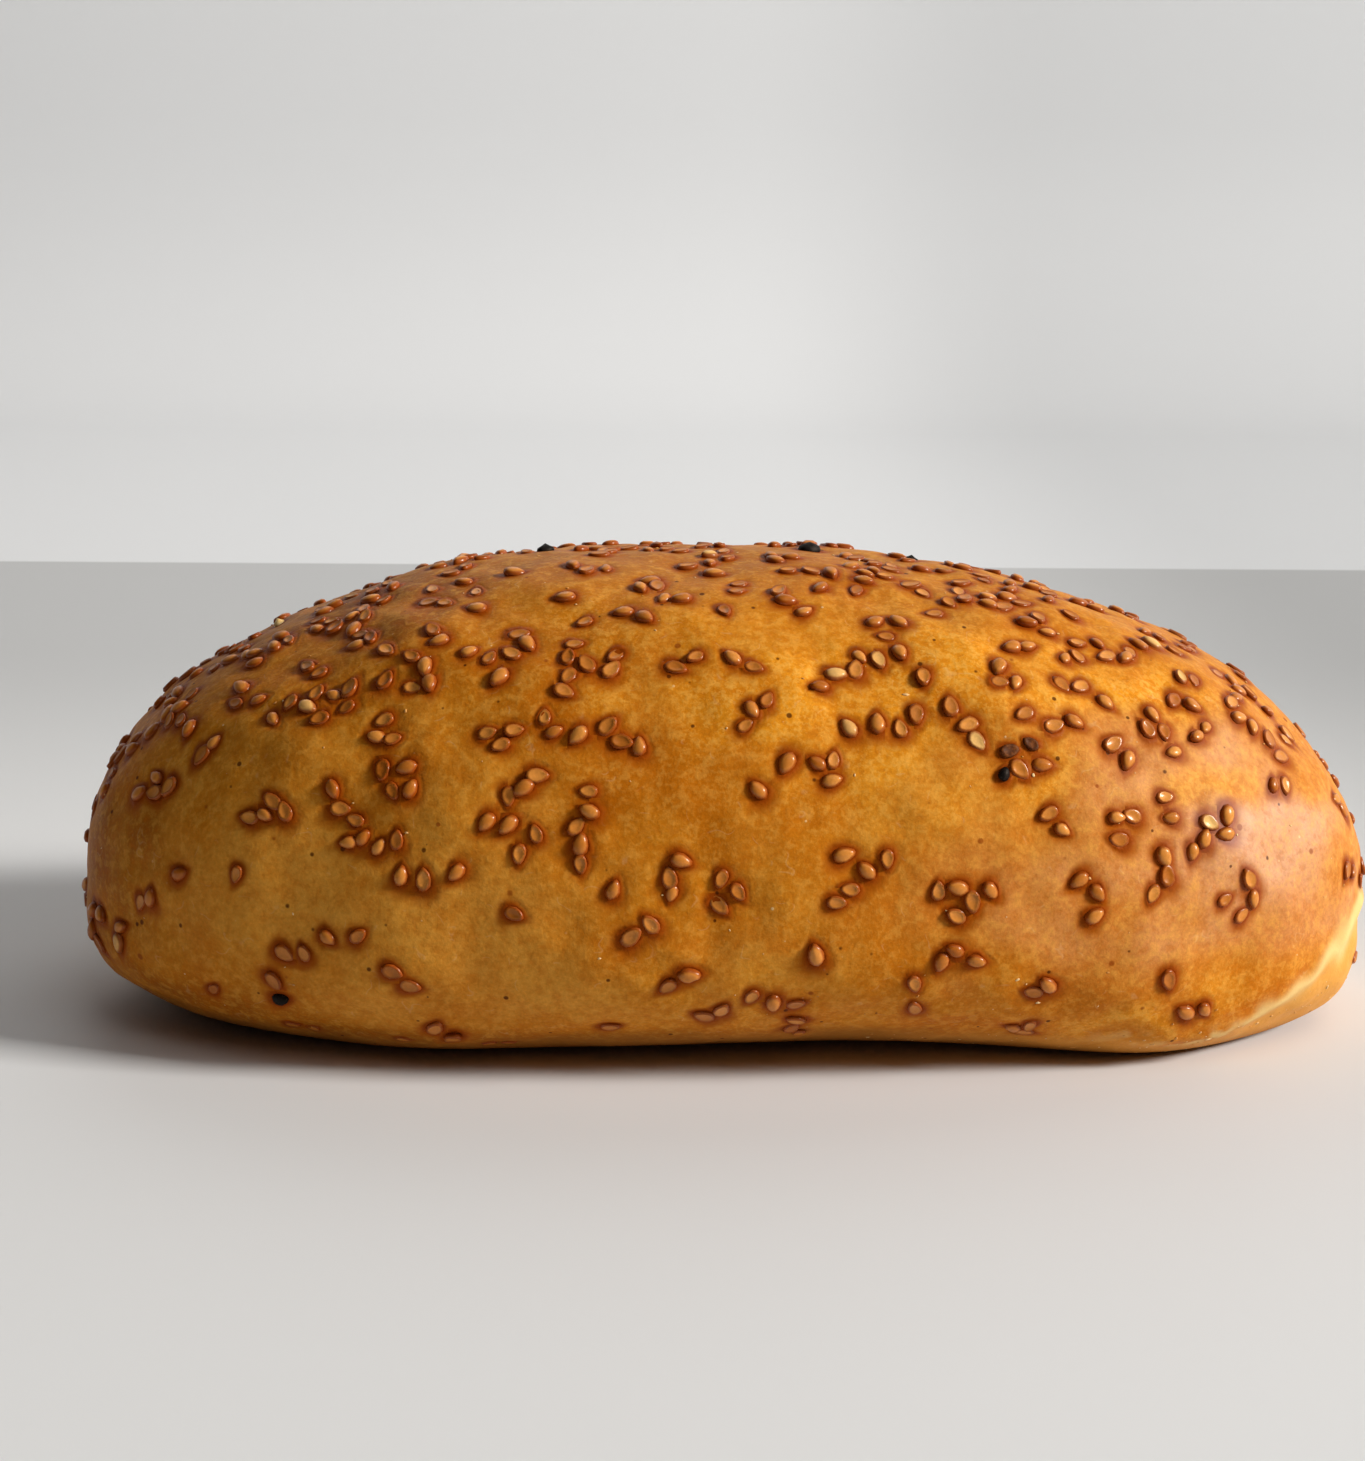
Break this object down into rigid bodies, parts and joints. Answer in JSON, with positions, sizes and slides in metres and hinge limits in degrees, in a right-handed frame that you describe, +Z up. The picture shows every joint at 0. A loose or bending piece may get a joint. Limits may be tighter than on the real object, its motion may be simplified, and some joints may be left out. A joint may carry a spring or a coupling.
{
  "type": "bread roll",
  "caption": "Long oval bread roll with a domed egg-washed crust, a flat tray-baked base and sesame seeds fused over the top and sides.",
  "frame": {"origin": "on the flat base, under the middle of the roll", "axes": "+X along the roll, the pictured side looks along -Y, +Z up"},
  "size_m": [0.1692, 0.0838, 0.0609],
  "materials": {
    "crust": "egg-washed baked crust, soft gloss, mottled golden brown"
  },
  "bodies": {
    "root": {"bread_roll": "crust"}
  },
  "joints": []
}
